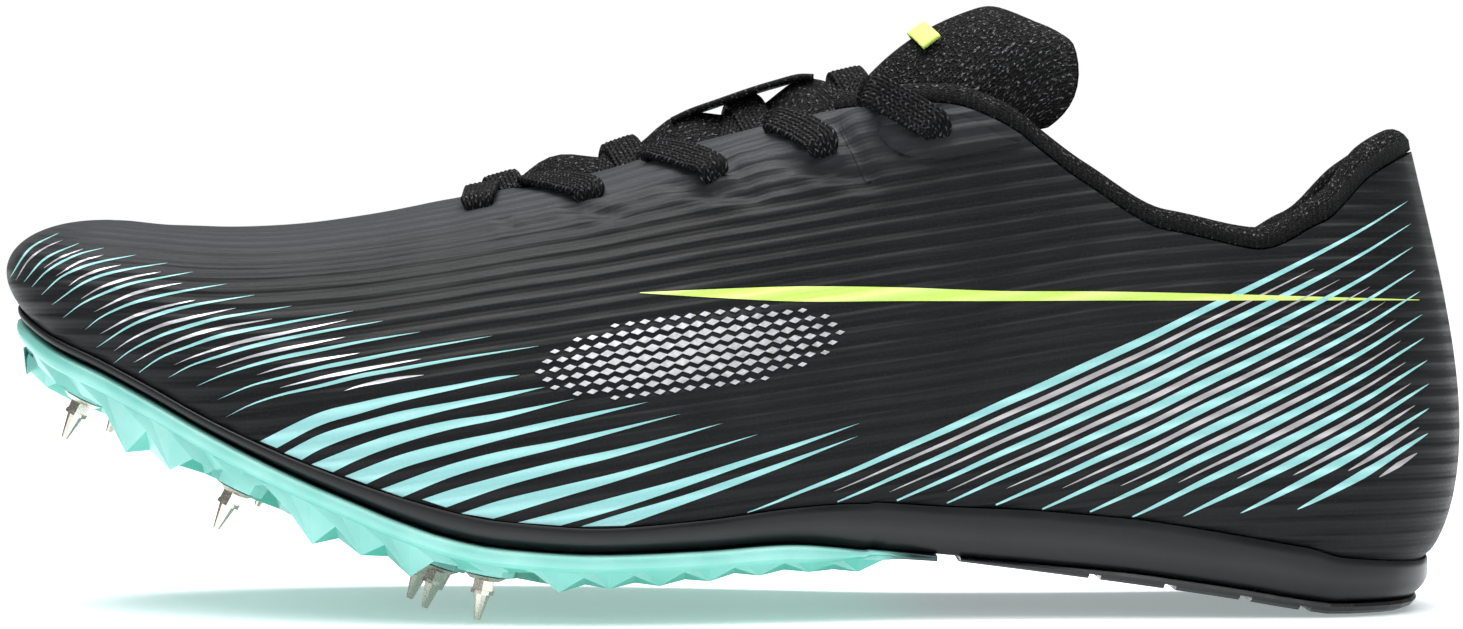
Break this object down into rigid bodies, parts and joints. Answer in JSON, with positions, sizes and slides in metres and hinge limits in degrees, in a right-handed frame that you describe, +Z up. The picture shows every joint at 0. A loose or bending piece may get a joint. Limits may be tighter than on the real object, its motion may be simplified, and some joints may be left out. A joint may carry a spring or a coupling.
{
  "type": "track spike shoe",
  "caption": "Low sprint spike shoe for the left foot: one-piece ribbed upper, knit cuff and tongue, flat laces, faceted spike plate and steel pins.",
  "frame": {"origin": "on the ground, under the middle of the shoe's length and width", "axes": "+X towards the heel, -Y towards the outer side of the left foot, +Z up"},
  "size_m": [0.2772, 0.092, 0.1137],
  "materials": {
    "upper_film": "matt film over ribbed textile, printed",
    "knit": "open mesh knit over soft foam",
    "label": "plain woven label",
    "lace": "flat woven polyester",
    "insole": "textile over thin foam",
    "foam": "moulded foam with a satin skin",
    "rubber": "smooth black rubber",
    "plate": "moulded light teal plastic",
    "spike_steel": "plated steel"
  },
  "bodies": {
    "root": {"upper": "upper_film", "collar_roll": "knit", "tongue": "knit", "tongue_label": "label", "laces": "lace", "lace_keeper": "lace", "insole": "insole", "midsole": "foam", "heel_outsole": "rubber", "spike_plate": "plate", "spike_1": "spike_steel", "spike_2": "spike_steel", "spike_3": "spike_steel", "spike_4": "spike_steel", "spike_5": "spike_steel", "spike_6": "spike_steel", "spike_7": "spike_steel", "spike_8": "spike_steel"}
  },
  "joints": []
}
